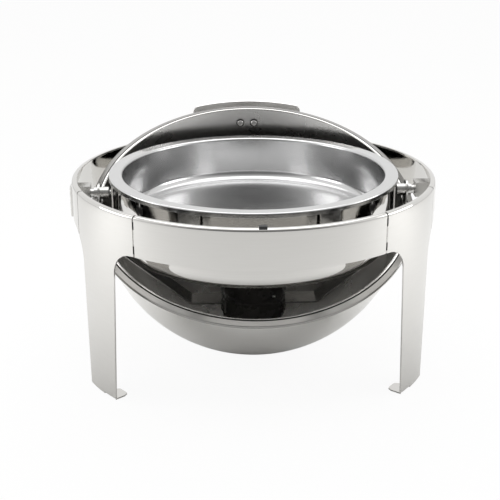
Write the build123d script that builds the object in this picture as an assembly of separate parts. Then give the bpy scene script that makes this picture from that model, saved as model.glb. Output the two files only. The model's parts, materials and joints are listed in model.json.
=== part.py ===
from build123d import *

import os
from math import asin, degrees, sqrt

# Round roll top chafer: a panelled ring on three legs, a rolling dome, two pans and a fuel holder.

os.makedirs("parts", exist_ok=True)

# ---- driving dimensions, millimetres and degrees -------------------------------------------
# Floor at z = 0, ring axis on Z, front of the chafer towards -Y.

# ring wall and legs
ring_r = 250.0            # outer radius of the ring and of the legs
sheet_t = 2.0             # ring and leg sheet
band_low, band_top = 212.0, 265.0
lip_width, lip_bend_r = 7.0, 4.0
front_half_deg = 39.0     # half the front panel, from the front centre
leg_at_deg = 57.15        # front legs, from the front centre
leg_rear_seam_deg = 70.5  # seam behind each front leg
rear_leg_half_deg = 15.75
seam_gap = 2.4            # open slit between two panels
splice_t, splice_w, splice_h = 2.0, 26.0, 10.0
splice_from_low, splice_from_top = 3.0, 8.0
leg_foot_half, leg_top_half = 33.5, 42.5
leg_front_fillet, leg_rear_fillet = 32.0, 40.0
foot_reach, foot_w, foot_t, foot_corner_r = 20.0, 26.0, 3.0, 7.0

# dome and its pivot
pivot_z = 238.0
open_tilt = 25.3          # the open rim leans back by this
dome_r, dome_t = 217.4, 1.4
dome_centre_up = 17.0     # dome centre above the pivot, when closed
rim_up = 24.4             # rim face above the pivot, when closed
bead_r, bead_h = 228.5, 7.0
bead_flat, bead_fall = 3.0, 3.5
bead_rounds = (4.0, 2.0, 1.0)
boss_r, boss_in, boss_out = 8.25, 201.0, 221.0
pin_r, bore_clear = 4.0, 0.05
bush_r = 5.5
block_in, block_w, block_low, block_high = 226.0, 21.0, 229.0, 250.0
lug_t, lug_w, lug_top = 3.0, 26.0, 298.0

# handle on the dome, placed with the dome closed
handle_r, handle_t, handle_h = 245.0, 3.0, 28.0
handle_half_w, handle_corner_r = 83.5, 9.0
screw_spacing, screw_z = 21.0, 286.4
screw_r, screw_head_r, screw_head_h, screw_l = 2.45, 5.2, 2.6, 20.0
washer_r, washer_t = 6.2, 1.0
pedestal_w, pedestal_h = 38.0, 14.0

# stops
bumper_y, bumper_w, bumper_d, bumper_h = -245.4, 10.0, 6.8, 3.0
plug_r = 1.9              # the bumper's plug in the band
handle_gap = 0.3          # closed handle over the bumper
stop_y, stop_low, stop_top, stop_w = 241.5, 236.0, 283.0, 20.0
stop_shelf = 250.0        # where the stop bracket leaves the wall
pad_w, pad_in, pad_out, pad_h = 16.0, 242.0, 249.0, 5.8

# pivot hardware
clip_x, clip_t, clip_r, clip_slot = 192.4, 1.2, 6.5, 4.8
pin_end, pin_neck_r = 191.6, 3.4
cover_t, cover_half_w, cover_low, cover_high, cover_edge_r = 4.0, 13.0, 208.0, 250.0, 2.0
spacer_r = 6.0
bush_flange_r, bush_flange_t = 7.5, 1.2

# pans
food_rim_r, food_rim_top, food_depth = 200.0, 268.6, 63.0
food_wall_top_r, food_wall_low_r, food_corner_r, food_t = 182.0, 177.0, 14.0, 1.0
rolled_edge_h = 6.6
water_wall_r, water_low, water_corner_r, water_t = 190.0, 160.0, 20.0, 1.0
water_flange_r = 196.5
pan_gap = 0.3
carrier_in, carrier_out, carrier_t = 191.0, 198.0, 3.0
bracket_at_deg, bracket_w, bracket_t = 27.0, 30.0, 2.0
bracket_low, arm_low, arm_in = 220.0, 238.0, 193.5

# burner strap and fuel holder
strap_w, strap_t = 40.0, 2.0
strap_side_x, strap_knee_z = 196.0, 180.0
strap_slope_x, strap_slope_z, strap_low_x = 181.0, 149.0, 90.0
strap_low = 76.0
cup_r, cup_t, cup_low, cup_high, cup_corner_r = 44.5, 1.2, 50.0, 128.0, 7.0
ridge_r, ridge_low, ridge_h, ridge_edge_r = 46.2, 80.5, 5.0, 1.5
tab_low, tab_half_w, tab_t = 62.0, 20.0, 2.0
collar_r, collar_t, collar_low, collar_h = 46.8, 1.7, 92.0, 26.0
vent_w_deg, vent_h, vent_count = 24.0, 9.0, 3
knob_r, knob_at_deg, knob_z = 3.2, 31.0, 96.5
knob_shank_r, knob_out = 1.6, 5.0
rivet_z, rivet_side_deg = 69.0, 16.0
rivet_r, rivet_head_r, rivet_head_h = 2.0, 3.6, 1.2

swing = 180.0 - open_tilt
pivot = Axis((0, 0, pivot_z), (1, 0, 0))
ring_in = ring_r - sheet_t


# ---- small helpers --------------------------------------------------------------------------
def spin(points, arc=360.0, start=0.0):
    """Turn an outline of (radius, z) points about Z, from the start angle through the arc."""
    face = Plane.XZ * make_face(Polyline(*points, close=True))
    return Rot(0, 0, start) * revolve(face, Axis.Z, revolution_arc=arc)


def wall(r_in, r_out, low, high, start=0.0, arc=360.0):
    """A piece of upright cylinder wall."""
    return spin([(r_in, low), (r_out, low), (r_out, high), (r_in, high)], arc, start)


def rod(radius, x0, x1, z=pivot_z, y=0.0):
    """A round bar along X."""
    return Pos((x0 + x1) / 2, y, z) * Rot(0, 90, 0) * Cylinder(radius, abs(x1 - x0))


def plate(x0, x1, y0, y1, z0, z1):
    """A box given by its two corners."""
    return Pos((x0 + x1) / 2, (y0 + y1) / 2, (z0 + z1) / 2) * Box(x1 - x0, y1 - y0, z1 - z0)


def left_of(shape):
    """The same piece on the left side."""
    return mirror(shape, about=Plane.YZ)


def pair(shape):
    """A right piece and its left twin as one group."""
    return Compound([shape, left_of(shape)])


def opened(shape):
    """Swing a piece of the closed dome down to the open rest position."""
    return shape.rotate(pivot, -swing)


def save(shape, name):
    export_step(shape, f"parts/{name}.step")


# ---- ring: front panel, leg panels and side panels -------------------------------------------
def band(start, arc):
    """The ring's wall with its top edge turned inwards, between two angles from +X."""
    lip_in = ring_r - lip_width
    outline = make_face(Polyline((ring_in, band_low), (ring_r, band_low), (ring_r, band_top),
                                 (lip_in, band_top), (lip_in, band_top - sheet_t),
                                 (ring_in, band_top - sheet_t), close=True))
    outer_corner = outline.vertices().sort_by(Axis.Y).group_by(Axis.X)[-1][-1]
    outline = fillet(outer_corner, lip_bend_r)
    inner_corner = [v for v in outline.vertices() if abs(v.X - ring_in) < 0.01 and v.Y > band_low + 1]
    outline = fillet(inner_corner, lip_bend_r - sheet_t)
    return Rot(0, 0, start) * revolve(Plane.XZ * outline, Axis.Z, revolution_arc=arc)


def leg_blade(front_fillet, rear_fillet):
    """A leg's outline seen from outside, cut straight through; its centre is at +X."""
    far, over = leg_top_half + 70.0, band_low + 3
    outline = make_face(Polyline((-leg_foot_half, 0), (leg_foot_half, 0), (leg_top_half, band_low),
                                 (far, band_low), (far, over), (-far, over), (-far, band_low),
                                 (-leg_top_half, band_low), close=True))
    for side, radius in ((-1, front_fillet), (1, rear_fillet)):
        corner = [v for v in outline.vertices()
                  if abs(v.X - side * leg_top_half) < 0.01 and abs(v.Y - band_low) < 0.01]
        outline = fillet(corner, radius)
    blade = extrude(Plane.YZ * outline, ring_r + 10)
    return blade & wall(ring_in, ring_r, 0, over, -40, 80)


def foot_tab(side_edge):
    """The leg's bottom edge bent inwards; it starts at the given edge of the leg."""
    y0, y1 = sorted((side_edge, side_edge - foot_w if side_edge > 0 else side_edge + foot_w))
    tab = plate(ring_in - foot_reach, ring_r - 0.5, y0, y1, 0, foot_t)
    inner = tab.edges().filter_by(Axis.Z).group_by(Axis.X)[0]
    tab = fillet(inner, foot_corner_r)
    return tab & Pos(0, 0, foot_t / 2) * Cylinder(ring_r - 0.5, foot_t)


def sector(shape, start, arc):
    """Keep what lies between two angles from +X."""
    return shape & wall(ring_in - 60, ring_r + 5, -1, band_top + 1, start, arc)


half_gap_deg = degrees(asin(seam_gap / 2 / ring_r))
right_leg_at = leg_at_deg - 90.0
rear_leg_at = 90.0
side_start = leg_rear_seam_deg - 90.0 + half_gap_deg
side_end = rear_leg_at - rear_leg_half_deg - half_gap_deg

front_leg_blade = leg_blade(leg_front_fillet, leg_rear_fillet)
rear_leg_blade = leg_blade(leg_rear_fillet, leg_rear_fillet)

front_start = -90.0 - front_half_deg + half_gap_deg
front_panel = band(front_start, 2 * (front_half_deg - half_gap_deg))
plug_hole = Pos(0, bumper_y, band_top) * Cylinder(plug_r + 0.1, 10)
save(front_panel - plug_hole, "front_band_panel")

leg_start = front_half_deg - 90.0 + half_gap_deg
leg_arc = leg_rear_seam_deg - front_half_deg - 2 * half_gap_deg
leg_sheet = Rot(0, 0, right_leg_at) * (front_leg_blade + foot_tab(-leg_foot_half))
right_leg = band(leg_start, leg_arc) + sector(leg_sheet, leg_start, leg_arc)
save(right_leg, "right_leg_panel")
save(left_of(right_leg), "left_leg_panel")

rear_start = rear_leg_at - rear_leg_half_deg + half_gap_deg
rear_arc = 2 * (rear_leg_half_deg - half_gap_deg)
rear_sheet = Rot(0, 0, rear_leg_at) * (rear_leg_blade + foot_tab(-leg_foot_half))
save(band(rear_start, rear_arc) + sector(rear_sheet, rear_start, rear_arc), "rear_leg_panel")

side_arc = side_end - side_start
side_panel = band(side_start, side_arc)
side_panel += sector(Rot(0, 0, right_leg_at) * front_leg_blade, side_start, side_arc)
side_panel += sector(Rot(0, 0, rear_leg_at) * rear_leg_blade, side_start, side_arc)
side_panel -= rod(pin_r + bore_clear, ring_in - 10, ring_r + 10)
save(side_panel, "right_side_panel")
save(left_of(side_panel), "left_side_panel")

# ---- seams: two short splice plates behind each open slit ------------------------------------
seams = [front_half_deg - 90.0, leg_rear_seam_deg - 90.0, rear_leg_at - rear_leg_half_deg]
seams += [180.0 - a for a in seams]
splice_arc = degrees(splice_w / ring_in)
splices = []
for at in seams:
    for low in (band_low + splice_from_low, band_top - splice_from_top - splice_h):
        splices.append(wall(ring_in - splice_t, ring_in, low, low + splice_h,
                            at - splice_arc / 2, splice_arc))
save(Compound(splices), "splice_plates")

# ---- stops: a rubber bumper at the front edge, a bracket with its bumper at the back ---------
bumper = plate(-bumper_w / 2, bumper_w / 2, bumper_y - bumper_d / 2, bumper_y + bumper_d / 2,
               band_top, band_top + bumper_h)
bumper += Pos(0, bumper_y, band_top - sheet_t) * Cylinder(plug_r, 2 * sheet_t)
save(bumper, "front_bumper")

half_stop, half_t = stop_w / 2, sheet_t / 2
stop = plate(-half_stop, half_stop, ring_in - sheet_t, ring_in, stop_low, stop_shelf)
stop += plate(-half_stop, half_stop, stop_y - half_t, ring_in, stop_shelf - sheet_t, stop_shelf)
stop = stop & Pos(0, 0, stop_shelf) * Cylinder(ring_in, 40)
stop += plate(-half_stop, half_stop, stop_y - half_t, stop_y + half_t, stop_shelf - sheet_t, stop_top)
stop += plate(-half_stop, half_stop, stop_y - half_t, pad_out, stop_top - sheet_t, stop_top)
save(stop, "rear_stop_bracket")
save(plate(-pad_w / 2, pad_w / 2, pad_in, pad_out, stop_top, stop_top + pad_h), "rear_bumper")

# ---- pivots: block, pin, cover plate, spacer and clip, on both sides -------------------------
block = plate(block_in, ring_r, -block_w / 2, block_w / 2, block_low, block_high)
block = block & Pos(0, 0, pivot_z) * Cylinder(ring_in, 60)
block -= rod(pin_r, block_in - 5, ring_r)
save(block, "right_pivot_block")
save(left_of(block), "left_pivot_block")

pin_face = ring_r + 2.0
clip_groove = rod(pin_r + 1, clip_x, clip_x + clip_t) - rod(pin_neck_r, clip_x, clip_x + clip_t)
save(pair(rod(pin_r, pin_end, pin_face) - clip_groove), "pivot_pins")
clip = rod(clip_r, clip_x, clip_x + clip_t) - rod(pin_neck_r, clip_x - 1, clip_x + 3)
clip -= plate(clip_x - 1, clip_x + 3, -clip_slot / 2, clip_slot / 2, pivot_z - 8, pivot_z)
save(pair(clip), "pin_clips")

cover_half_deg = degrees(asin(cover_half_w / ring_r))
cover = wall(ring_r, ring_r + cover_t, cover_low, cover_high, -cover_half_deg, 2 * cover_half_deg)
cover = fillet(cover.faces().sort_by(Axis.X)[-1].edges(), cover_edge_r)
cover -= rod(pin_r, ring_r - 5, pin_face)
save(pair(cover), "pivot_cover_plates")

spacer = rod(spacer_r, boss_out + 0.3, block_in) - rod(pin_r, boss_out - 1, block_in + 1)
save(pair(spacer), "pivot_spacers")

# ---- pan carrier: ring, front brackets and the strap that hangs from the pivot pins -----------
water_flange_top = food_rim_top - food_t - pan_gap
carrier_top = water_flange_top - water_t
carrier_low = carrier_top - carrier_t
save(wall(carrier_in, carrier_out, carrier_low, carrier_top), "pan_carrier_ring")

half_bracket = bracket_w / 2
arm_top = arm_low + bracket_t
bracket = plate(ring_in - bracket_t, ring_r, -half_bracket, half_bracket, bracket_low, arm_top)
bracket += plate(arm_in, ring_r, -half_bracket, half_bracket, arm_low, arm_top)
bracket += plate(arm_in, arm_in + bracket_t, -half_bracket, half_bracket, arm_low, carrier_low)
bracket = bracket & Pos(0, 0, pivot_z) * Cylinder(ring_in, 80)
front_brackets = [Rot(0, 0, -90.0 + side * bracket_at_deg) * bracket for side in (-1, 1)]
save(Compound(front_brackets), "front_carrier_brackets")


def strap_outline(offset):
    """The strap's right half in X and Z, from the ring down to the middle."""
    return [(strap_side_x - offset, carrier_low), (strap_side_x - offset, strap_knee_z),
            (strap_slope_x - offset * 0.9, strap_slope_z + offset * 0.3),
            (strap_low_x - offset * 0.5, strap_low + offset)]


outer_half = strap_outline(0)
inner_half = strap_outline(strap_t)
strap_points = outer_half + [(-x, z) for x, z in reversed(outer_half)]
strap_points += [(-x, z) for x, z in inner_half] + list(reversed(inner_half))
strap_face = Plane.XZ * make_face(Polyline(*strap_points, close=True))
strap = extrude(strap_face, strap_w / 2, both=True)
strap -= rod(pin_r + bore_clear, -ring_r, ring_r)
tab_block = Pos(0, 0, (tab_low + strap_low + strap_t) / 2)
tabs = tab_block * Cylinder(cup_r + tab_t, strap_low + strap_t - tab_low)
tabs = tabs & plate(-ring_r, ring_r, -tab_half_w, tab_half_w, 0, band_top)
strap = strap + tabs - Pos(0, 0, strap_low) * Cylinder(cup_r, 60)


def radial(radius, r_in, r_out, at_deg):
    """A round bar that points away from Z, at the rivets' height."""
    return Rot(0, 0, at_deg) * rod(radius, r_in, r_out, rivet_z)


rivet_at = [base + side * rivet_side_deg for base in (0, 180) for side in (-1, 1)]
for at in rivet_at:
    strap -= radial(rivet_r + bore_clear, cup_r - 5, cup_r + 8, at)
save(strap, "burner_strap")

# ---- fuel holder: cup, turning vent collar with its knob, rivets -----------------------------
cup_h = cup_high - cup_low
cup_out = Pos(0, 0, cup_low + cup_h / 2) * Cylinder(cup_r, cup_h)
cup_out = fillet(cup_out.edges().sort_by(Axis.Z)[0], cup_corner_r)
cup_in = Pos(0, 0, cup_low + cup_t + cup_h / 2) * Cylinder(cup_r - cup_t, cup_h)
cup_in = fillet(cup_in.edges().sort_by(Axis.Z)[0], cup_corner_r - cup_t)
ridge = Pos(0, 0, ridge_low + ridge_h / 2) * Cylinder(ridge_r, ridge_h)
ridge = fillet(ridge.edges(), ridge_edge_r)
cup = cup_out + ridge - cup_in
collar = wall(collar_r - collar_t, collar_r, collar_low, collar_low + collar_h)
vent_low = collar_low + collar_h - vent_h - 5
for i in range(vent_count):
    start = 90.0 + i * 360.0 / vent_count - vent_w_deg / 2
    window = wall(cup_r - 5, collar_r + 5, vent_low, vent_low + vent_h, start, vent_w_deg)
    cup -= window
    collar -= window
for at in rivet_at:
    cup -= radial(rivet_r + bore_clear, cup_r - 5, cup_r + 8, at)
save(cup, "fuel_holder_cup")
save(collar, "vent_collar")

knob_at = Rot(0, 0, knob_at_deg - 90.0)
knob = rod(knob_shank_r, collar_r - 1, collar_r + 3, knob_z)
knob -= Pos(0, 0, knob_z) * Cylinder(collar_r, 10)
knob = knob_at * (knob + Pos(collar_r + knob_out, 0, knob_z) * Sphere(knob_r))
save(knob, "vent_knob")

rivets = []
rivet_in, rivet_out = cup_r - cup_t, cup_r + tab_t
for at in rivet_at:
    shank = radial(rivet_r, rivet_in - 0.5, rivet_out + 0.5, at)
    tail = radial(rivet_head_r, rivet_in - rivet_head_h, rivet_in - 0.2, at)
    head = radial(rivet_head_r, rivet_out, rivet_out + rivet_head_h, at)
    rivets.append(shank + tail + head)
save(Compound(rivets), "holder_rivets")


# ---- pans ------------------------------------------------------------------------------------
def bent(points, corner_radii):
    """A closed (radius, z) outline whose named corners are rounded, turned about Z."""
    outline = make_face(Polyline(*points, close=True))
    for (x, z), radius in corner_radii:
        corner = [v for v in outline.vertices() if abs(v.X - x) < 0.01 and abs(v.Y - z) < 0.01]
        outline = fillet(corner, radius)
    return revolve(Plane.XZ * outline, Axis.Z)


water_floor = water_low + water_t
water_in = water_wall_r - water_t
water_points = [(0, water_low), (water_wall_r, water_low), (water_wall_r, carrier_top),
                (water_flange_r, carrier_top), (water_flange_r, water_flange_top),
                (water_in, water_flange_top), (water_in, water_floor), (0, water_floor)]
water_corners = [((water_wall_r, water_low), water_corner_r),
                 ((water_in, water_floor), water_corner_r - water_t)]
save(bent(water_points, water_corners), "water_pan")

food_floor = food_rim_top - food_depth
food_under = food_floor - food_t
rim_under = food_rim_top - food_t
edge_low = food_rim_top - rolled_edge_h
food_points = [(0, food_under), (food_wall_low_r, food_under), (food_wall_top_r, rim_under),
               (food_rim_r - food_t, rim_under), (food_rim_r - food_t, edge_low), (food_rim_r, edge_low),
               (food_rim_r, food_rim_top), (food_wall_top_r - food_t, food_rim_top),
               (food_wall_low_r - food_t, food_floor), (0, food_floor)]
food_corners = [((food_wall_low_r, food_under), food_corner_r + food_t),
                ((food_wall_low_r - food_t, food_floor), food_corner_r),
                ((food_wall_top_r - food_t, food_rim_top), 3.0 + food_t),
                ((food_wall_top_r, rim_under), 3.0),
                ((food_rim_r, food_rim_top), 2.0),
                ((food_rim_r - food_t, rim_under), 1.0)]
save(bent(food_points, food_corners), "food_pan")

# ---- dome, drawn closed and then swung open --------------------------------------------------
dome_z = pivot_z + dome_centre_up
rim_z = pivot_z + rim_up
dome_in = dome_r - dome_t
above_rim = Pos(0, 0, rim_z + 250) * Box(600, 600, 500)
shell = (Pos(0, 0, dome_z) * Sphere(dome_r) - Pos(0, 0, dome_z) * Sphere(dome_in)) & above_rim

screw_tilt = degrees(asin((screw_z - dome_z) / dome_in))


def along_screw(shape, side, reach):
    """Put a piece drawn on Z onto a handle screw's line, the given distance from the dome centre."""
    at = Pos(side * screw_spacing / 2, 0, dome_z) * Rot(90 - screw_tilt, 0, 0)
    return at * Pos(0, 0, reach) * shape


screw_reach = sqrt(dome_in ** 2 - (screw_spacing / 2) ** 2)
for side in (-1, 1):
    shell -= along_screw(Cylinder(screw_r + 0.15, 12), side, dome_r)
save(opened(shell), "dome_shell")

bead_top = rim_z + bead_h
bead_corners = [(dome_in + bead_flat, rim_z), (bead_r, rim_z + bead_fall), (bead_r, bead_top)]
bead_points = [(dome_in, rim_z), *bead_corners, (dome_in, bead_top)]
bead = bent(bead_points, list(zip(bead_corners, bead_rounds)))
bead -= Pos(0, 0, dome_z) * Sphere(dome_r)
save(opened(bead), "dome_rim_bead")

lug = plate(dome_in - lug_t, dome_in, -lug_w / 2, lug_w / 2, pivot_z, rim_z + 3)
lug += rod(lug_w / 2, dome_in - lug_t, dome_in)
lug = lug & Pos(0, 0, pivot_z) * Cylinder(dome_in, 80)
hug = Pos(0, 0, dome_z) * Sphere(dome_in) - Pos(0, 0, dome_z) * Sphere(dome_in - lug_t)
lug += hug & plate(150, 230, -lug_w / 2, lug_w / 2, rim_z, lug_top)
lug -= rod(boss_r, boss_in - 1, boss_out + 1)
lug -= shell
save(opened(lug), "right_dome_lug")
save(opened(left_of(lug)), "left_dome_lug")

boss = rod(boss_r, boss_in, boss_out) - rod(bush_r, boss_in - 1, boss_out + 1)
save(opened(pair(boss)), "dome_bosses")
bush = rod(bush_r, boss_in, boss_out) + rod(bush_flange_r, boss_in - bush_flange_t, boss_in)
bush -= rod(pin_r + bore_clear, boss_in - 3, boss_out + 1)
save(opened(pair(bush)), "pivot_bushes")

# ---- handle: curved plate, pedestal, screws and washers --------------------------------------
handle_low = band_top + bumper_h + handle_gap
handle_mid = Pos(0, handle_low + handle_h / 2)
handle_face = handle_mid * RectangleRounded(2 * handle_half_w, handle_h, handle_corner_r)
handle = extrude(Plane.XZ * handle_face, ring_r + 10)
handle = handle & wall(handle_r - handle_t / 2, handle_r + handle_t / 2, handle_low - 5,
                       handle_low + handle_h + 5, -130, 80)
save(opened(handle), "handle_plate")

pedestal_face = Pos(0, screw_z) * SlotOverall(pedestal_w, pedestal_h)
pedestal = extrude(Plane.XZ * pedestal_face, ring_r)
pedestal = pedestal & Pos(0, 0, screw_z) * Cylinder(handle_r - handle_t / 2, 60)
pedestal -= Pos(0, 0, dome_z) * Sphere(dome_r)
for side in (-1, 1):
    pedestal -= along_screw(Cylinder(screw_r + bore_clear, 40), side, dome_r)
save(opened(pedestal), "handle_pedestal")

screws = []
washers = []
washer_reach = screw_reach - 0.6
washer_in = washer_reach - washer_t
for side in (-1, 1):
    head = Cylinder(screw_head_r, screw_head_h)
    head = fillet(head.edges().sort_by(Axis.Z)[0], 2.0)
    shank = along_screw(Cylinder(screw_r, screw_l), side, washer_in + screw_l / 2)
    screws.append(along_screw(head, side, washer_in - screw_head_h / 2) + shank)
    washer = Cylinder(washer_r, washer_t) - Cylinder(screw_r + 0.15, washer_t + 1)
    washers.append(along_screw(washer, side, washer_reach - washer_t / 2))
save(opened(Compound(screws)), "handle_screws")
save(opened(Compound(washers)), "handle_washers")
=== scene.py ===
import json
from math import asin, atan2, cos, degrees, pi, radians, sin, sqrt, tan

import bmesh
import bpy
from mathutils import Matrix, Vector


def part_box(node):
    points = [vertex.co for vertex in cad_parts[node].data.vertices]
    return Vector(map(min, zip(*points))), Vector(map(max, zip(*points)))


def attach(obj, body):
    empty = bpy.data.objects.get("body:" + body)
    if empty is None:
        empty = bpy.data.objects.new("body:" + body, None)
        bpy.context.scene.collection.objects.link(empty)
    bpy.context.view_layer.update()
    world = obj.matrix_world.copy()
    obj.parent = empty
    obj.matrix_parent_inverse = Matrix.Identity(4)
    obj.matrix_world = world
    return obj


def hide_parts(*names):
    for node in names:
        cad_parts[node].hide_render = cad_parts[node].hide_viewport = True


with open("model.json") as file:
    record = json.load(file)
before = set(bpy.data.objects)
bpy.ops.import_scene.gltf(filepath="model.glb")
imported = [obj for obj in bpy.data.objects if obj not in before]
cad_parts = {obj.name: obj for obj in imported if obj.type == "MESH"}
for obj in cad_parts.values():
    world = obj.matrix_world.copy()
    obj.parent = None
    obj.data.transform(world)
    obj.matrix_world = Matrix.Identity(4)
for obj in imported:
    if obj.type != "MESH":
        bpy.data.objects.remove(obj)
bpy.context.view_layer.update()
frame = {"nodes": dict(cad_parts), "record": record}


# ---- studio ---------------------------------------------------------------------------------
# A pale floor, a white room and three soft boxes. The camera stands in front, a little to the
# left, and looks down at the open chafer.
sight_turn, sight_down, sight_far = radians(2.53), radians(19.62), 1.6058
sight_at = Vector((-0.0048, 0.0, 0.1502))

camera = bpy.data.objects.new("camera", bpy.data.cameras.new("camera"))
bpy.context.scene.collection.objects.link(camera)
look = Vector((sin(sight_turn) * cos(sight_down), cos(sight_turn) * cos(sight_down), -sin(sight_down)))
camera.location = sight_at - look * sight_far
camera.rotation_euler = look.to_track_quat("-Z", "Y").to_euler()
camera.data.lens, camera.data.sensor_width = 81.25, 36.0
bpy.context.scene.camera = camera


same_point, sharp_corner = 1e-6, radians(38)


def add_node(tree, kind, **settings):
    """A new shader or geometry node with some of its settings made."""
    made = tree.nodes.new(kind)
    for key, value in settings.items():
        setattr(made, key, value)
    return made


def new_material(name):
    """An empty material and its Principled shader."""
    material = bpy.data.materials.new(name)
    material.use_nodes = True
    return material, material.node_tree, material.node_tree.nodes["Principled BSDF"]


def mesh_piece(name, verts, faces, material, inner=None):
    """A new object whose place is in its mesh: smooth, with sharp corners kept, facing outwards."""
    mesh = bpy.data.meshes.new(name)
    mesh.from_pydata([tuple(v) for v in verts], [], faces)
    if inner:
        mark = mesh.attributes.new("inner", "FLOAT", "POINT")
        mark.data.foreach_set("value", inner)
    work = bmesh.new()
    work.from_mesh(mesh)
    bmesh.ops.remove_doubles(work, verts=work.verts, dist=same_point)
    bmesh.ops.recalc_face_normals(work, faces=work.faces)
    for face in work.faces:
        face.smooth = True
    for edge in work.edges:
        if edge.is_manifold and edge.calc_face_angle(0) > sharp_corner:
            edge.smooth = False
    work.to_mesh(mesh)
    work.free()
    mesh.materials.append(material)
    piece = bpy.data.objects.new(name, mesh)
    bpy.context.scene.collection.objects.link(piece)
    return piece


floor_half, floor_glow, floor_glow_share = 14.0, 1.0, 0.93
floor_material, tree, shader = new_material("pale_floor")
tree.nodes.remove(shader)
paper = add_node(tree, "ShaderNodeBsdfDiffuse")
paper.inputs["Color"].default_value = (0.78, 0.78, 0.775, 1)
glow = add_node(tree, "ShaderNodeEmission")
glow.inputs["Color"].default_value = (1, 1, 1, 1)
glow.inputs["Strength"].default_value = floor_glow
rays = add_node(tree, "ShaderNodeLightPath")
how_much = add_node(tree, "ShaderNodeMath", operation="MULTIPLY")
how_much.inputs[1].default_value = floor_glow_share
both = add_node(tree, "ShaderNodeMixShader")
tree.links.new(rays.outputs["Is Camera Ray"], how_much.inputs[0])
tree.links.new(how_much.outputs[0], both.inputs["Fac"])
tree.links.new(paper.outputs[0], both.inputs[1])
tree.links.new(glow.outputs[0], both.inputs[2])
tree.links.new(both.outputs[0], tree.nodes["Material Output"].inputs["Surface"])
floor = mesh_piece("floor", [(-floor_half, -floor_half, 0), (floor_half, -floor_half, 0),
                             (floor_half, floor_half, 0), (-floor_half, floor_half, 0)],
                   [(0, 1, 2, 3)], floor_material)

room = bpy.data.worlds.new("room")
bpy.context.scene.world = room
room.use_nodes = True
air = room.node_tree
way = add_node(air, "ShaderNodeTexCoord")
parts_of = add_node(air, "ShaderNodeSeparateXYZ")
front_to_back = add_node(air, "ShaderNodeMapRange", interpolation_type="SMOOTHSTEP")
for key, value in (("From Min", -0.9), ("From Max", -0.1), ("To Min", 0.20), ("To Max", 1.0)):
    front_to_back.inputs[key].default_value = value
air.links.new(way.outputs["Generated"], parts_of.inputs[0])
air.links.new(parts_of.outputs["Y"], front_to_back.inputs["Value"])
air.links.new(front_to_back.outputs[0], air.nodes["Background"].inputs["Strength"])
air.nodes["Background"].inputs["Color"].default_value = (1.0, 1.0, 0.995, 1)
bpy.context.scene.view_settings.view_transform = "Standard"


def soft_box(name, place, aim, wide, high, watts):
    """A square studio light at a place, turned to shine at a point."""
    lamp = bpy.data.lights.new(name, "AREA")
    lamp.shape, lamp.size, lamp.size_y, lamp.energy = "RECTANGLE", wide, high, watts
    light = bpy.data.objects.new(name, lamp)
    light.location = place
    light.rotation_euler = (Vector(aim) - Vector(place)).to_track_quat("-Z", "Y").to_euler()
    bpy.context.scene.collection.objects.link(light)


side_box_x, side_box_y, side_box_z, lit_floor_x = 1.0, -0.05, 0.5, 0.80
for side, sign in (("left", -1), ("right", 1)):
    soft_box(f"{side}_box", (sign * side_box_x, side_box_y, side_box_z),
             (sign * lit_floor_x, side_box_y, 0.0), wide=0.45, high=0.6, watts=2.6)
soft_box("top_box", (0, 0.5, 2.2), (0, 0, 0.2), wide=2.4, high=2.0, watts=22)

# ---- ring and legs --------------------------------------------------------------------------
# Six bent panels of mirror polished stainless sheet make the ring. Three of them run down to
# the floor as legs, and each leg ends in a foot tab bent inwards. The top edge is turned in.
ring_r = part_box("rear_leg_panel")[1][1]
band_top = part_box("front_band_panel")[1][2]
band_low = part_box("front_band_panel")[0][2]
sheet_t, lip_w, lip_r, lip_edge = 0.002, 0.007, 0.004, 0.0008
front_half = radians(39.0)
leg_at, leg_rear_seam = radians(57.15), radians(70.5)
rear_leg_half = radians(15.75)
seam_half = 0.0012
half_gap = asin(seam_half / ring_r)
foot_half, leg_top_half = 0.0335, 0.0425
front_fillet, rear_fillet = 0.032, 0.040
foot_w, foot_reach, foot_bend, foot_corner = 0.026, 0.020, 0.003, 0.007
foot_start, foot_step, sheet_edge = 0.0002, 0.0003, 0.0003
panel_columns, panel_rows = 120, 24


def polish_group():
    """Fine polishing lines and soft smudges over a surface, each from 0 to 1."""
    group = bpy.data.node_groups.new("polish_marks", "ShaderNodeTree")
    for label, kind in (("Vector", "NodeSocketVector"), ("Lines", "NodeSocketVector"),
                        ("Smudge Size", "NodeSocketFloat")):
        group.interface.new_socket(label, in_out="INPUT", socket_type=kind)
    for label in ("Lines", "Smudge"):
        group.interface.new_socket(label, in_out="OUTPUT", socket_type="NodeSocketFloat")
    into, out = add_node(group, "NodeGroupInput"), add_node(group, "NodeGroupOutput")
    stretch = add_node(group, "ShaderNodeVectorMath", operation="MULTIPLY")
    lines = add_node(group, "ShaderNodeTexNoise")
    lines.inputs["Scale"].default_value = 1.0
    lines.inputs["Detail"].default_value = 4.0
    blots = add_node(group, "ShaderNodeTexNoise")
    blots.inputs["Detail"].default_value = 5.0
    blots.inputs["Roughness"].default_value = 0.62
    sharpen = add_node(group, "ShaderNodeMapRange")
    sharpen.inputs["From Min"].default_value = 0.38
    sharpen.inputs["From Max"].default_value = 0.72
    link = group.links.new
    link(into.outputs["Vector"], stretch.inputs[0])
    link(into.outputs["Lines"], stretch.inputs[1])
    link(stretch.outputs[0], lines.inputs["Vector"])
    link(into.outputs["Vector"], blots.inputs["Vector"])
    link(into.outputs["Smudge Size"], blots.inputs["Scale"])
    link(blots.outputs["Fac"], sharpen.inputs["Value"])
    link(lines.outputs["Fac"], out.inputs["Lines"])
    link(sharpen.outputs[0], out.inputs["Smudge"])
    return group


polish_marks = polish_group()


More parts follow.
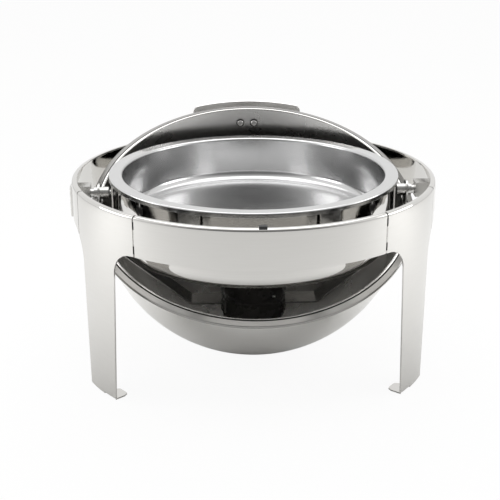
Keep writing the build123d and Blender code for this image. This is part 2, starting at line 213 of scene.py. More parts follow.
def steel(name, bright, dull, smooth, rough, lines, smudge=9.0, bump=0.04):
    """Stainless steel with polishing lines and smudges."""
    material, tree, shader = new_material(name)
    place = add_node(tree, "ShaderNodeTexCoord")
    marks = add_node(tree, "ShaderNodeGroup", node_tree=polish_marks)
    marks.inputs["Lines"].default_value = lines
    marks.inputs["Smudge Size"].default_value = smudge
    tree.links.new(place.outputs["Object"], marks.inputs["Vector"])
    tone = add_node(tree, "ShaderNodeMix", data_type="RGBA")
    tone.inputs["A"].default_value = (*bright, 1)
    tone.inputs["B"].default_value = (*dull, 1)
    tree.links.new(marks.outputs["Lines"], tone.inputs["Factor"])
    haze = add_node(tree, "ShaderNodeMapRange")
    haze.inputs["To Min"].default_value = smooth
    haze.inputs["To Max"].default_value = rough
    tree.links.new(marks.outputs["Smudge"], haze.inputs["Value"])
    relief = add_node(tree, "ShaderNodeBump")
    relief.inputs["Strength"].default_value = bump
    relief.inputs["Distance"].default_value = 0.0004
    tree.links.new(marks.outputs["Lines"], relief.inputs["Height"])
    tree.links.new(tone.outputs["Result"], shader.inputs["Base Color"])
    tree.links.new(haze.outputs[0], shader.inputs["Roughness"])
    tree.links.new(relief.outputs[0], shader.inputs["Normal"])
    shader.inputs["Metallic"].default_value = 1.0
    return material


mirror_sheet = steel("mirror_sheet", (0.675, 0.665, 0.648), (0.63, 0.62, 0.60), 0.02, 0.06,
                     lines=(30, 30, 900), bump=0.012)


def set_in_place(piece, body, slot, *nodes):
    """The piece rides on its body and stands for its CAD nodes, which are hidden; the slot argument is not
    used.
    """
    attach(piece, body)
    if nodes:
        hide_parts(*nodes)


def arc(centre, radius, start, stop, steps):
    """Points on an arc, from one angle to another, both in degrees."""
    turns = [radians(start + (stop - start) * i / steps) for i in range(steps + 1)]
    return [(centre[0] + radius * cos(t), centre[1] + radius * sin(t)) for t in turns]


def leg_edge(side, fillet):
    """One side of a leg from its foot to the ring, as (width, height) points."""
    steps = 14
    lean = atan2(leg_top_half - foot_half, band_low)
    # the fillet touches the leaning side and the level underside of the ring
    centre_w = leg_top_half + fillet * (1 - sin(lean)) / cos(lean)
    centre = (centre_w, band_low - fillet)
    points = [(foot_half, 0.0)]
    foot_to_arc = 12
    first = arc(centre, fillet, 180 - degrees(lean), 180 - degrees(lean), 1)[0]
    for i in range(1, foot_to_arc):
        f = i / foot_to_arc
        points.append((foot_half + (first[0] - foot_half) * f, first[1] * f))
    points += arc(centre, fillet, 180 - degrees(lean), 90, steps)
    return [(side * w, z) for w, z in points]


def leg_outline(left_fillet, right_fillet):
    """The whole lower edge of a leg panel: angle from the leg's middle, and height."""
    left = leg_edge(-1, left_fillet)
    right = leg_edge(1, right_fillet)
    tab = (-foot_half, -foot_half + foot_w)
    foot = [(tab[0] + foot_start, foot_bend)]
    foot += [(tab[0] + (tab[1] - tab[0]) * i / 8, foot_bend) for i in range(1, 9)]
    foot += [(tab[1] + foot_step, 0.0)]
    foot += [(tab[1] + (foot_half - tab[1]) * i / 8, 0.0) for i in range(1, 8)]
    line = left[::-1] + foot + right
    return [(asin(w / ring_r), z) for w, z in line]


def low_edge_at(angle, outlines):
    """Height of the panel's lower edge at an angle, where legs may come down."""
    for middle, line in outlines:
        turn = angle - middle
        if line[0][0] <= turn <= line[-1][0]:
            for (a, za), (b, zb) in zip(line, line[1:]):
                if a <= turn <= b:
                    return za if b - a < 1e-9 else za + (zb - za) * (turn - a) / (b - a)
    return band_low


def on_ring(angle, r, z):
    """A point at an angle from the front, counted towards the right."""
    return (r * sin(angle), -r * cos(angle), z)


def ring_panel(name, start, stop, outlines=(), tabs=()):
    """A bent panel between two angles: columns from its lower edge up and round the turned lip."""
    turns = {round(start + (stop - start) * i / panel_columns, 7) for i in range(panel_columns + 1)}
    for middle, line in outlines:
        turns |= {round(middle + a, 7) for a, z in line if start < middle + a < stop}
    turns = sorted(turns)
    lip = arc((ring_r - lip_r, band_top - lip_r), lip_r, 0, 90, 7)
    lip += [(ring_r - lip_w + lip_edge, band_top), (ring_r - lip_w, band_top)]
    verts, faces = [], []
    for turn in turns:
        low = low_edge_at(turn, outlines)
        for i in range(panel_rows):
            verts.append(on_ring(turn, ring_r, low + (lip[0][1] - low) * i / panel_rows))
        verts += [on_ring(turn, r, z) for r, z in lip]
    tall = panel_rows + len(lip)
    for c in range(len(turns) - 1):
        for i in range(tall - 1):
            a = c * tall + i
            faces.append((a, a + tall, a + tall + 1, a + 1))
    for middle, line in tabs:
        add_foot_tab(verts, faces, middle, [a for a, z in line if abs(z - foot_bend) < 1e-9])
    panel = mesh_piece(name, verts, faces, mirror_sheet)
    thick = panel.modifiers.new("sheet", "SOLIDIFY")
    thick.thickness = sheet_t
    thick.offset = -1
    soften = panel.modifiers.new("edges", "BEVEL")
    soften.width = sheet_edge
    soften.segments = 2
    soften.limit_method = "ANGLE"
    soften.angle_limit = radians(40)
    soften.harden_normals = True
    return panel


def add_foot_tab(verts, faces, middle, turns):
    """The leg's foot, bent inwards with a rounded end; it shares the leg's lower edge."""
    first = len(verts)
    across = [ring_r * sin(t) for t in turns]
    lo, hi = across[0], across[-1]
    bend = arc((ring_r - foot_bend, foot_bend), foot_bend, 0, -90, 5)
    steps_in = 8
    tall = len(bend) + steps_in
    for turn, w in zip(turns, across):
        near = min(w - lo, hi - w)
        cut = foot_corner - sqrt(max(0, foot_corner ** 2 - (foot_corner - min(near, foot_corner)) ** 2))
        end = ring_r - sheet_t - foot_reach + cut
        verts += [on_ring(middle + turn, r, z) for r, z in bend]
        for i in range(1, steps_in + 1):
            verts.append(on_ring(middle + turn, bend[-1][0] + (end - bend[-1][0]) * i / steps_in, 0.0))
    for c in range(len(turns) - 1):
        for i in range(tall - 1):
            a = first + c * tall + i
            faces.append((a + 1, a + tall + 1, a + tall, a))


front_panel = ring_panel("front_panel", -front_half + half_gap, front_half - half_gap)
set_in_place(front_panel, "frame", "polished_steel", "front_band_panel")

right_line = leg_outline(front_fillet, rear_fillet)
left_line = [(-a, z) for a, z in reversed(right_line)]
rear_line = leg_outline(rear_fillet, rear_fillet)
rear_at = pi
legs = {"right": (leg_at, right_line, 1), "left": (-leg_at, left_line, -1)}
for side, (middle, line, sign) in legs.items():
    span = sorted((sign * (front_half + half_gap), sign * (leg_rear_seam - half_gap)))
    leg = ring_panel(f"{side}_leg", *span, [(middle, line)], [(middle, line)])
    set_in_place(leg, "frame", "polished_steel", f"{side}_leg_panel")
    span = sorted((sign * (leg_rear_seam + half_gap), sign * (rear_at - rear_leg_half - half_gap)))
    sides = ring_panel(f"{side}_side", *span, [(middle, line), (sign * rear_at, rear_line)])
    set_in_place(sides, "frame", "polished_steel", f"{side}_side_panel")
rear_leg = ring_panel("rear_leg", rear_at - rear_leg_half + half_gap, rear_at + rear_leg_half - half_gap,
                      [(rear_at, rear_line)], [(rear_at, rear_line)])
set_in_place(rear_leg, "frame", "polished_steel", "rear_leg_panel")

# ---- splice plates --------------------------------------------------------------------------
# Two short plates bridge each open slit between the panels. They are fixed to
# the panels from behind, one low and one high. Their near black colour is a painted shade that makes the
# slits look dark.
splice_w, splice_h, splice_t, splice_edge, splice_gap = 0.026, 0.010, 0.002, 0.0003, 0.00001
splice_low, splice_high = band_low + 0.003, band_top - 0.018


def node_group(name, floats):
    """A geometry tree whose inputs are lengths or angles and a material."""
    tree = bpy.data.node_groups.new(name, "GeometryNodeTree")
    tree.interface.new_socket("Geometry", in_out="OUTPUT", socket_type="NodeSocketGeometry")
    for label in floats:
        tree.interface.new_socket(label, in_out="INPUT", socket_type="NodeSocketFloat")
    tree.interface.new_socket("Material", in_out="INPUT", socket_type="NodeSocketMaterial")
    return tree, add_node(tree, "NodeGroupInput"), add_node(tree, "NodeGroupOutput")


def finish_tree(tree, into, out, shape):
    """Realize the copies and give them their material."""
    real = add_node(tree, "GeometryNodeRealizeInstances")
    paint = add_node(tree, "GeometryNodeSetMaterial")
    tree.links.new(shape, real.inputs[0])
    tree.links.new(real.outputs[0], paint.inputs["Geometry"])
    tree.links.new(into.outputs["Material"], paint.inputs["Material"])
    tree.links.new(paint.outputs[0], out.inputs["Geometry"])


def grown(name, tree, values, material, sheet=0.0, soft=0.0):
    """Run a geometry tree once and keep its result as a plain mesh."""
    seed = bpy.data.objects.new(name + "_tree", bpy.data.meshes.new(name + "_tree"))
    bpy.context.scene.collection.objects.link(seed)
    grow = seed.modifiers.new("grow", "NODES")
    grow.node_group = tree
    for item in tree.interface.items_tree:
        if item.in_out == "INPUT":
            grow[item.identifier] = material if item.name == "Material" else values[item.name]
    if sheet:
        thick = seed.modifiers.new("sheet", "SOLIDIFY")
        thick.thickness, thick.offset = sheet, -1
    if soft:
        edge = seed.modifiers.new("edges", "BEVEL")
        edge.width, edge.segments, edge.limit_method = soft, 2, "ANGLE"
    view = bpy.context.evaluated_depsgraph_get()
    mesh = bpy.data.meshes.new_from_object(seed.evaluated_get(view))
    bpy.data.objects.remove(seed)
    mesh.name = name
    piece = bpy.data.objects.new(name, mesh)
    bpy.context.scene.collection.objects.link(piece)
    return piece


def math_node(tree, operation, a, b):
    """One sum in a node tree; each side is a socket or a number."""
    sum_of = add_node(tree, "ShaderNodeMath", operation=operation)
    for socket, value in zip(sum_of.inputs, (a, b)):
        if isinstance(value, (int, float)):
            socket.default_value = value
        elif value is not None:
            tree.links.new(value, socket)
    return sum_of.outputs[0]


def splice_tree():
    """A pair of bent plates at each of the three seam angles on both sides."""
    labels = ("Radius", "Width", "Height", "Low", "High", "Front Seam", "Leg Seam", "Rear Seam")
    tree, into, out = node_group("splice_pairs", labels)
    link = tree.links.new
    grid = add_node(tree, "GeometryNodeMeshGrid")
    grid.inputs["Vertices X"].default_value = 15
    grid.inputs["Vertices Y"].default_value = 4
    link(into.outputs["Width"], grid.inputs["Size X"])
    link(into.outputs["Height"], grid.inputs["Size Y"])
    spot = add_node(tree, "GeometryNodeInputPosition")
    split = add_node(tree, "ShaderNodeSeparateXYZ")
    link(spot.outputs[0], split.inputs[0])
    turn = math_node(tree, "DIVIDE", split.outputs["X"], into.outputs["Radius"])
    across = math_node(tree, "MULTIPLY", math_node(tree, "SINE", turn, None), into.outputs["Radius"])
    deep = math_node(tree, "MULTIPLY", math_node(tree, "COSINE", turn, None), into.outputs["Radius"])
    half_tall = math_node(tree, "DIVIDE", into.outputs["Height"], 2.0)
    rise = math_node(tree, "ADD", split.outputs["Y"], half_tall)
    bent = add_node(tree, "ShaderNodeCombineXYZ")
    link(across, bent.inputs["X"])
    link(math_node(tree, "MULTIPLY", deep, -1.0), bent.inputs["Y"])
    link(rise, bent.inputs["Z"])
    wrap = add_node(tree, "GeometryNodeSetPosition")
    link(grid.outputs["Mesh"], wrap.inputs["Geometry"])
    link(bent.outputs[0], wrap.inputs["Position"])
    both = add_node(tree, "GeometryNodeJoinGeometry")
    for level in ("Low", "High"):
        lift = add_node(tree, "GeometryNodeTransform")
        up = add_node(tree, "ShaderNodeCombineXYZ")
        link(into.outputs[level], up.inputs["Z"])
        link(wrap.outputs[0], lift.inputs["Geometry"])
        link(up.outputs[0], lift.inputs["Translation"])
        link(lift.outputs[0], both.inputs[0])
    single = add_node(tree, "GeometryNodeGeometryToInstance")
    link(both.outputs[0], single.inputs[0])
    ring = add_node(tree, "GeometryNodeJoinGeometry")
    for seam in ("Front Seam", "Leg Seam", "Rear Seam"):
        for way in (1.0, -1.0):
            swing_round = add_node(tree, "GeometryNodeTransform")
            angle = add_node(tree, "ShaderNodeCombineXYZ")
            link(math_node(tree, "MULTIPLY", into.outputs[seam], way), angle.inputs["Z"])
            link(single.outputs[0], swing_round.inputs["Geometry"])
            link(angle.outputs[0], swing_round.inputs["Rotation"])
            link(swing_round.outputs[0], ring.inputs[0])
    finish_tree(tree, into, out, ring.outputs[0])
    return tree


# Painted shade: the plates are coloured near black so the open slits look dark.
splice_black = steel("splice_black", (0.03, 0.03, 0.03), (0.015, 0.015, 0.015), 0.35, 0.5,
                     lines=(300, 300, 300), bump=0.1)
splice_black.node_tree.nodes["Principled BSDF"].inputs["Metallic"].default_value = 0.0
splices = grown("splice_pairs", splice_tree(), {
    "Radius": ring_r - sheet_t - splice_gap, "Width": splice_w, "Height": splice_h, "Low": splice_low,
    "High": splice_high, "Front Seam": front_half, "Leg Seam": leg_rear_seam,
    "Rear Seam": pi - rear_leg_half}, splice_black, splice_t, splice_edge)
set_in_place(splices, "frame", "black_enamel", "splice_plates")

# ---- dome and its rim -----------------------------------------------------------------------
# The lid is a deep bowl spun from one stainless sheet, mirror polished outside and finely
# brushed inside. It hangs open on its side pivots. Its edge is rolled into a sloping rim, with a
# fine crease where the roll begins.
roll = next(j for j in frame["record"]["behaviour"]["joints"] if j["name"] == "dome_roll")
pivot_z = roll["pos_m"][2]
swing = radians(roll["range_deg"][1])
dome_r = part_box("dome_shell")[1][0]
bead_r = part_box("dome_rim_bead")[1][0]
dome_t, dome_up, rim_up, bead_h = 0.0014, 0.017, 0.0244, 0.007
dome_z, rim_z = pivot_z + dome_up, pivot_z + rim_up
dome_in = dome_r - dome_t
open_place = (Matrix.Translation((0, 0, pivot_z)) @ Matrix.Rotation(-swing, 4, "X")
              @ Matrix.Translation((0, 0, -pivot_z)))


def turned_steel(name, outside, inside, bright=(0.665, 0.655, 0.638), dull=(0.60, 0.59, 0.572),
                 rings=520.0, bump=0.03, smudge=7.0, place=None, painted_shade_tint=1.0):
    """Spun sheet: fine rings from the lathe, with its own finish and a painted shade on the inside face."""
    material, tree, shader = new_material(name)
    link = tree.links.new
    where = add_node(tree, "ShaderNodeTexCoord")
    vector = where.outputs["Object"]
    if place is not None:
        undo = place.inverted()
        shift = add_node(tree, "ShaderNodeMapping", vector_type="POINT")
        shift.inputs["Location"].default_value = undo.translation
        shift.inputs["Rotation"].default_value = undo.to_euler()
        link(vector, shift.inputs["Vector"])
        vector = shift.outputs[0]
    flat = add_node(tree, "ShaderNodeVectorMath", operation="MULTIPLY")
    flat.inputs[1].default_value = (1, 1, 0)
    radius = add_node(tree, "ShaderNodeVectorMath", operation="LENGTH")
    split = add_node(tree, "ShaderNodeSeparateXYZ")
    pair = add_node(tree, "ShaderNodeCombineXYZ")
    link(vector, flat.inputs[0])
    link(flat.outputs[0], radius.inputs[0])
    link(vector, split.inputs[0])
    link(radius.outputs["Value"], pair.inputs["X"])
    link(split.outputs["Z"], pair.inputs["Z"])
    marks = add_node(tree, "ShaderNodeGroup", node_tree=polish_marks)
    marks.inputs["Lines"].default_value = (rings, rings, rings)
    marks.inputs["Smudge Size"].default_value = smudge
    blots = add_node(tree, "ShaderNodeGroup", node_tree=polish_marks)
    blots.inputs["Smudge Size"].default_value = smudge
    link(pair.outputs[0], marks.inputs["Vector"])
    link(vector, blots.inputs["Vector"])
    tone = add_node(tree, "ShaderNodeMix", data_type="RGBA")
    tone.inputs["A"].default_value = (*bright, 1)
    tone.inputs["B"].default_value = (*dull, 1)
    link(marks.outputs["Lines"], tone.inputs["Factor"])
    faces = []
    for low, high in (outside, inside):
        haze = add_node(tree, "ShaderNodeMapRange")
        haze.inputs["To Min"].default_value = low
        haze.inputs["To Max"].default_value = high
        link(blots.outputs["Smudge"], haze.inputs["Value"])
        faces.append(haze)
    side = add_node(tree, "ShaderNodeAttribute", attribute_name="inner")
    choose = add_node(tree, "ShaderNodeMix", data_type="FLOAT")
    link(side.outputs["Fac"], choose.inputs["Factor"])
    link(faces[0].outputs[0], choose.inputs["A"])
    link(faces[1].outputs[0], choose.inputs["B"])
    relief = add_node(tree, "ShaderNodeBump")
    relief.inputs["Strength"].default_value = bump
    relief.inputs["Distance"].default_value = 0.0003
    link(marks.outputs["Lines"], relief.inputs["Height"])
    # Painted shade: the colour of the marked faces is scaled down by the tint given.
    shade = add_node(tree, "ShaderNodeMapRange")
    shade.inputs["To Min"].default_value = 1.0
    shade.inputs["To Max"].default_value = painted_shade_tint
    tinted = add_node(tree, "ShaderNodeVectorMath", operation="SCALE")
    link(side.outputs["Fac"], shade.inputs["Value"])
    link(tone.outputs["Result"], tinted.inputs[0])
    link(shade.outputs[0], tinted.inputs["Scale"])
    link(tinted.outputs[0], shader.inputs["Base Color"])
    link(choose.outputs[0], shader.inputs["Roughness"])
    link(relief.outputs[0], shader.inputs["Normal"])
    shader.inputs["Metallic"].default_value = 1.0
    return material


# The inside face is a painted shade: its colour is scaled to 0.92 of the outside.
dome_steel = turned_steel("dome_steel", (0.08, 0.14), (0.24, 0.34), bright=(0.90, 0.89, 0.87),
                          dull=(0.82, 0.81, 0.79), place=open_place, painted_shade_tint=0.92)


def round_corners(points):
    """A closed outline from (r, z, corner radius) points, each corner turned into a smooth arc."""
    outline = []
    for i, (x, z, radius) in enumerate(points):
        at = Vector((x, z))
        back = Vector(points[i - 1][:2]) - at
        ahead = Vector(points[(i + 1) % len(points)][:2]) - at
        if radius <= 0:
            outline.append(at)
            continue
        turn = back.angle(ahead)
        reach = radius / tan(turn / 2)
        start, stop = at + back.normalized() * reach, at + ahead.normalized() * reach
        middle = at + (back.normalized() + ahead.normalized()).normalized() * radius / sin(turn / 2)
        a, b = start - middle, stop - middle
        sweep = a.angle_signed(b)
        steps = max(6, int(abs(degrees(sweep)) / 6))
        support = min(0.0005, reach * 0.3)
        outline.append(start + back.normalized() * support)
        for k in range(steps + 1):
            f = -sweep * k / steps
            outline.append(middle + Vector((a.x * cos(f) - a.y * sin(f), a.x * sin(f) + a.y * cos(f))))
        outline.append(stop + ahead.normalized() * support)
    return [(p.x, p.y) for p in outline]


def lathe(name, outline, material, steps=256, place=None, marks=None):
    """Turn a closed (r, z) outline about Z. The marks say how far each point takes the inside finish and
    painted shade.
    """
    n = len(outline)
    marks = marks or [0.0] * n
    verts, faces, inner = [], [], []
    for s in range(steps):
        t = 2 * pi * s / steps
        for i, (r, z) in enumerate(outline):
            verts.append(Vector((r * cos(t), r * sin(t), z)))
            inner.append(marks[i])
    for s in range(steps):
        for i in range(n):
            j, t = (i + 1) % n, (s + 1) % steps
            on_axis = outline[i][0] < same_point and outline[j][0] < same_point
            if not on_axis:
                faces.append((s * n + i, s * n + j, t * n + j, t * n + i))
    if place:
        verts = [place @ v for v in verts]
    return mesh_piece(name, verts, faces, material, inner)


def sphere_outline(radius, low, steps=84):
    """An arc of the dome's side from its edge height to the top, as (r, z)."""
    first = asin((low - dome_z) / radius)
    turns = [first + (pi / 2 - first) * i / steps for i in range(steps)]
    return [(radius * cos(t), dome_z + radius * sin(t)) for t in turns] + [(0.0, dome_z + radius)]


hem_r = 0.0012
outer_arc = sphere_outline(dome_r, rim_z + hem_r)
inner_arc = sphere_outline(dome_in, rim_z + hem_r)
dome_marks = [0.0] * len(outer_arc) + [1.0] * len(inner_arc)
dome = lathe("dome", outer_arc + inner_arc[::-1], dome_steel, 240, open_place, dome_marks)
set_in_place(dome, "dome", "polished_steel", "dome_shell")

rim_flat, rim_fall, crease_w, crease_deep = 0.003, 0.0035, 0.0018, 0.0014
crease_step, crease_edge_r, crease_root_r = 0.0006, 0.0003, 0.0002
roll_r, roll_back_r, bead_overlap = 0.002, 0.001, 0.0003
slope_shade, near = 0.45, 1e-4
crease_in = dome_in + rim_flat
crease_out = crease_in + crease_w
bead_line = round_corners([
    (dome_in, rim_z, hem_r), (crease_in, rim_z, crease_edge_r),
    (crease_in, rim_z + crease_deep, crease_root_r), (crease_out, rim_z + crease_deep, crease_root_r),
    (crease_out, rim_z + crease_step, crease_edge_r), (bead_r, rim_z + rim_fall, roll_r),
    (bead_r, rim_z + bead_h, roll_back_r), (dome_r - bead_overlap, rim_z + bead_h, 0)])


def rim_mark(r, z):
    """The crease gets the darkest painted shade on the rim, and the slope outside it a lighter painted shade
    and a rougher finish.
    """
    if r > crease_out + near:
        return slope_shade
    return 1.0 if r > crease_in - near and z > rim_z + crease_step - near else 0.0


# Painted shade: the crease is coloured near black (0.06) and the slope at about 0.58 of the rim's colour.
bead_steel = turned_steel("bead_steel", (0.17, 0.24), (0.4, 0.5), place=open_place, painted_shade_tint=0.06)
bead = lathe("dome_rim", bead_line, bead_steel, 288, open_place, [rim_mark(r, z) for r, z in bead_line])
set_in_place(bead, "dome", "polished_steel", "dome_rim_bead")

# ---- handle ---------------------------------------------------------------------------------
# A curved stainless plate with rounded corners stands off the lid on a solid pedestal, held by
# two screws whose heads show inside the lid. It has a satin finish of its own, rougher than the ring.
handle_r, handle_t, handle_half_w, handle_corner = 0.245, 0.003, 0.0835, 0.009
handle_low, handle_high = 0.2683, 0.2963
handle_columns, handle_rows, handle_edge = 110, 10, 0.0006
screw_apart, screw_z = 0.021, 0.2864
pedestal_w, pedestal_h = 0.038, 0.014
foot_gap, plate_gap = 0.0002, 0.0001


def plate_face(half_w, half_h, corner, mid, r):
    """Columns of the plate's face, each as tall as the rounded corners allow."""
    columns = []
    for i in range(handle_columns + 1):
        x = -half_w + 2 * half_w * i / handle_columns
        over = max(0.0, abs(x) - (half_w - corner))
        tall = half_h - corner + sqrt(max(0.0, corner ** 2 - over ** 2))
        heights = [-tall + 2 * tall * k / handle_rows for k in range(handle_rows + 1)]
        columns.append([Vector((x, -sqrt(r * r - x * x), mid + z)) for z in heights])
    return columns


def slab(name, half_w, low, high, corner, r_face, back_at, material):
    """A curved plate built from columns: front face, back face and the edge between them."""
    mid, half_h = (low + high) / 2, (high - low) / 2
    front = plate_face(half_w, half_h, corner, mid, r_face)
    verts = [v for column in front for v in column]
    back = [[back_at(v) for v in column] for column in front]
    verts += [v for column in back for v in column]
    tall, wide = len(front[0]), len(front)
    faces = []
    for c in range(wide - 1):
        for i in range(tall - 1):
            a = c * tall + i
            faces.append((a, a + 1, a + tall + 1, a + tall))
            b = a + wide * tall
            faces.append((b, b + tall, b + tall + 1, b + 1))
    rim = [c * tall for c in range(wide)] + [(wide - 1) * tall + i for i in range(1, tall)]
    rim += [c * tall + tall - 1 for c in range(wide - 2, -1, -1)] + [i for i in range(tall - 2, 0, -1)]
    for a, b in zip(rim, rim[1:] + rim[:1]):
        faces.append((a, b, b + wide * tall, a + wide * tall))
    piece = mesh_piece(name, [open_place @ v for v in verts], faces, material)
    soften = piece.modifiers.new("edges", "BEVEL")
    soften.width = handle_edge
    soften.segments = 3
    soften.limit_method = "ANGLE"
    soften.angle_limit = radians(40)
    soften.harden_normals = True
    return piece


def plate_back(v):
    """The matching point on the handle's inner face."""
    r = handle_r - handle_t / 2
    return Vector((v.x, -sqrt(r * r - v.x * v.x), v.z))


def dome_back(v):
    """The matching point on the dome under the pedestal."""
    r = dome_r + foot_gap
    return Vector((v.x, -sqrt(r * r - v.x * v.x - (v.z - dome_z) ** 2), v.z))


handle_steel = steel("handle_steel", (0.84, 0.83, 0.82), (0.78, 0.77, 0.76), 0.36, 0.46,
                     lines=(14, 14, 700), bump=0.02)
handle = slab("handle", handle_half_w, handle_low, handle_high, handle_corner,
              handle_r + handle_t / 2, plate_back, handle_steel)
set_in_place(handle, "dome", "polished_steel", "handle_plate")
pedestal = slab("handle_foot", pedestal_w / 2, screw_z - pedestal_h / 2, screw_z + pedestal_h / 2,
                pedestal_h / 2, handle_r - handle_t / 2 - plate_gap, dome_back, handle_steel)
set_in_place(pedestal, "dome", "polished_steel", "handle_pedestal")

# ---- food pan -------------------------------------------------------------------------------
# A round deep drawn pan with a wide flat rim and a rolled edge, satin all over. It rests on the
# water pan's flange.
food_rim_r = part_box("food_pan")[1][0]
food_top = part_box("food_pan")[1][2]
food_depth, food_t, food_roll = 0.063, 0.001, 0.0066
food_wall_top, food_wall_low, food_corner = 0.182, 0.177, 0.014
food_bend, food_edge, food_cut, food_under_edge = 0.003, 0.002, 0.0003, 0.001
food_floor = food_top - food_depth

food_under = round_corners([
    (0.0, food_floor - food_t, 0), (food_wall_low, food_floor - food_t, food_corner + food_t),
    (food_wall_top, food_top - food_t, food_bend), (food_rim_r - food_t, food_top - food_t, food_under_edge),
    (food_rim_r - food_t, food_top - food_roll, food_cut), (food_rim_r, food_top - food_roll, food_cut),
    (food_rim_r, food_top, food_edge), (food_wall_top - food_t, food_top, food_bend + food_t),
    (food_wall_low - food_t, food_floor, food_corner), (0.0, food_floor, 0)])
food_steel = turned_steel("food_pan_steel", (0.16, 0.26), (0.16, 0.26), bright=(0.665, 0.665, 0.665),
                          dull=(0.58, 0.58, 0.582), rings=700.0, bump=0.05, smudge=9.0)
food = lathe("food_pan_sheet", food_under, food_steel, 288)
set_in_place(food, "food_pan", "satin_steel", "food_pan")

# ---- water pan ------------------------------------------------------------------------------
# The water pan is a plain deep pan with a narrow flange. It hangs in the carrier ring, and its
# polished wall shows under the ring between the legs.
water_flange_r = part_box("water_pan")[1][0]
water_low, water_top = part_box("water_pan")[0][2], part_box("water_pan")[1][2]
water_wall, water_t, water_corner = 0.190, 0.001, 0.020
water_bend, water_cut = 0.0008, 0.0003
water_lip_bend = 0.0012
water_in = water_wall - water_t
water_line = round_corners([
    (0.0, water_low, 0), (water_wall, water_low, water_corner),
    (water_wall, water_top - water_t, water_bend), (water_flange_r, water_top - water_t, water_cut),
    (water_flange_r, water_top, water_cut), (water_in, water_top, water_lip_bend),
    (water_in, water_low + water_t, water_corner - water_t), (0.0, water_low + water_t, 0)])
water_steel = turned_steel("water_pan_steel", (0.06, 0.12), (0.06, 0.12), rings=500.0)
water = lathe("water_pan_sheet", water_line, water_steel, 256)
set_in_place(water, "frame", "polished_steel", "water_pan")

# ---- small steel parts ----------------------------------------------------------------------
# Blocks, pins, bosses, lugs and the burner strap are cut from satin bar and sheet. Their corners
# are broken with a file, which leaves a brighter worn edge. Black and rubber parts share the make.
def worn_group():
    """Rounded corners and a mask of the worn edges, for small machined parts."""
    group = bpy.data.node_groups.new("broken_edges", "ShaderNodeTree")
    group.interface.new_socket("Radius", in_out="INPUT", socket_type="NodeSocketFloat")
    group.interface.new_socket("Normal", in_out="OUTPUT", socket_type="NodeSocketVector")
    group.interface.new_socket("Wear", in_out="OUTPUT", socket_type="NodeSocketFloat")
    into, out = add_node(group, "NodeGroupInput"), add_node(group, "NodeGroupOutput")
    round_off = add_node(group, "ShaderNodeBevel", samples=4)
    plain = add_node(group, "ShaderNodeNewGeometry")
    differ = add_node(group, "ShaderNodeVectorMath", operation="DISTANCE")
    worn = add_node(group, "ShaderNodeMapRange")
    worn.inputs["From Max"].default_value = 0.5
    link = group.links.new
    link(into.outputs["Radius"], round_off.inputs["Radius"])
    link(round_off.outputs[0], differ.inputs[0])
    link(plain.outputs["Normal"], differ.inputs[1])
    link(differ.outputs["Value"], worn.inputs["Value"])
    link(round_off.outputs[0], out.inputs["Normal"])
    link(worn.outputs[0], out.inputs["Wear"])
    return group


broken_edges = worn_group()


def small_part(name, colour, worn_colour, smooth, rough, metal, grain, bump, radius=0.0004):
    """A material for machined, moulded or painted small parts with worn edges."""
    material, tree, shader = new_material(name)
    link = tree.links.new
    where = add_node(tree, "ShaderNodeTexCoord")
    marks = add_node(tree, "ShaderNodeGroup", node_tree=polish_marks)
    marks.inputs["Lines"].default_value = grain
    marks.inputs["Smudge Size"].default_value = 60.0
    edges = add_node(tree, "ShaderNodeGroup", node_tree=broken_edges)
    edges.inputs["Radius"].default_value = radius
    tone = add_node(tree, "ShaderNodeMix", data_type="RGBA")
    tone.inputs["A"].default_value = (*colour, 1)
    tone.inputs["B"].default_value = (*worn_colour, 1)
    fade = add_node(tree, "ShaderNodeMath", operation="MULTIPLY")
    haze = add_node(tree, "ShaderNodeMapRange")
    haze.inputs["To Min"].default_value = smooth
    haze.inputs["To Max"].default_value = rough
    relief = add_node(tree, "ShaderNodeBump")
    relief.inputs["Strength"].default_value = bump
    relief.inputs["Distance"].default_value = 0.0002
    link(where.outputs["Object"], marks.inputs["Vector"])
    link(edges.outputs["Wear"], fade.inputs[0])
    link(marks.outputs["Lines"], fade.inputs[1])
    link(fade.outputs[0], tone.inputs["Factor"])
    link(marks.outputs["Smudge"], haze.inputs["Value"])
    link(marks.outputs["Lines"], relief.inputs["Height"])
    link(edges.outputs["Normal"], relief.inputs["Normal"])
    link(tone.outputs["Result"], shader.inputs["Base Color"])
    link(haze.outputs[0], shader.inputs["Roughness"])
    link(relief.outputs[0], shader.inputs["Normal"])
    shader.inputs["Metallic"].default_value = metal
    return material


satin_bar = small_part("satin_bar", (0.60, 0.595, 0.58), (0.78, 0.775, 0.76), 0.16, 0.30, 1.0,
                       (700, 60, 700), 0.15)
bright_bar = small_part("bright_bar", (0.68, 0.67, 0.655), (0.8, 0.79, 0.775), 0.14, 0.24, 1.0,
                        (300, 300, 300), 0.05)
strap_steel = small_part("strap_steel", (0.60, 0.59, 0.575), (0.78, 0.77, 0.755), 0.14, 0.26, 1.0,
                         (30, 900, 30), 0.08)
gloss_black = small_part("gloss_black", (0.085, 0.080, 0.075), (0.16, 0.155, 0.15), 0.22, 0.34, 0.0,
                         (160, 160, 160), 0.08)
gloss_black.node_tree.nodes["Principled BSDF"].inputs["Coat Weight"].default_value = 0.6
rubber = small_part("rubber", (0.028, 0.028, 0.028), (0.06, 0.06, 0.06), 0.55, 0.75, 0.0,
                    (900, 900, 900), 0.4)
plastic = small_part("plastic", (0.035, 0.035, 0.036), (0.08, 0.08, 0.08), 0.35, 0.5, 0.0,
                     (600, 600, 600), 0.25)

# ---- fuel holder rivets ---------------------------------------------------------------------
# Four round headed steel rivets hold the strap's two tabs to the black fuel holder.
rivet_r_in, rivet_r_out, rivet_up, rivet_side = 0.0433, 0.0465, 0.069, radians(16)
rivet_head_r, rivet_head_h, rivet_shank_r = 0.0036, 0.0011, 0.002


